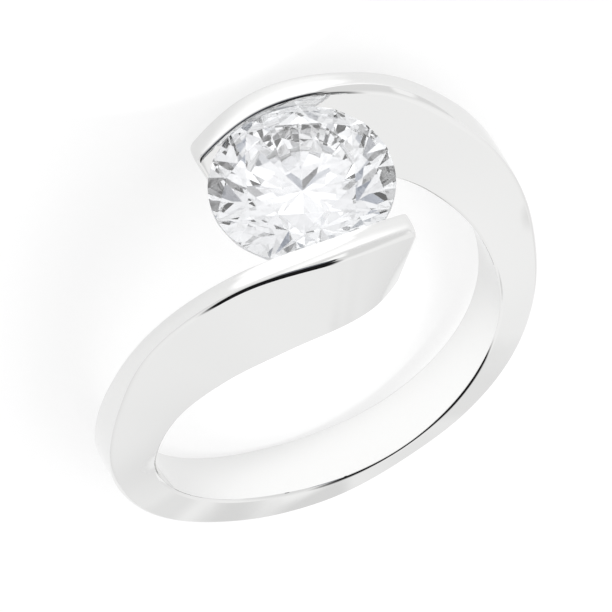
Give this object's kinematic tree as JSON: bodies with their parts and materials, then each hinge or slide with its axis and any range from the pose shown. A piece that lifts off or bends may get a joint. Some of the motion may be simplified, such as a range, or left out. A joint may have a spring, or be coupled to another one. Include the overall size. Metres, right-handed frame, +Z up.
{
  "type": "solitaire ring",
  "caption": "Finger ring whose thin band grows into tall arms that pass each other on both sides of a round brilliant stone and grip it at the girdle.",
  "frame": {"origin": "on the table, under the middle of the ring's bounding box, as it lies on its side", "axes": "+Z up from the table and about 10 degrees off the finger hole's axis; -Y towards the stone; +X towards the arm that passes over the stone"},
  "size_m": [0.0208, 0.0234, 0.0095],
  "materials": {
    "metal": "mirror-polished white gold",
    "gem": "faceted, polished and colourless"
  },
  "bodies": {
    "root": {"band": "metal", "stone": "gem"}
  },
  "joints": []
}
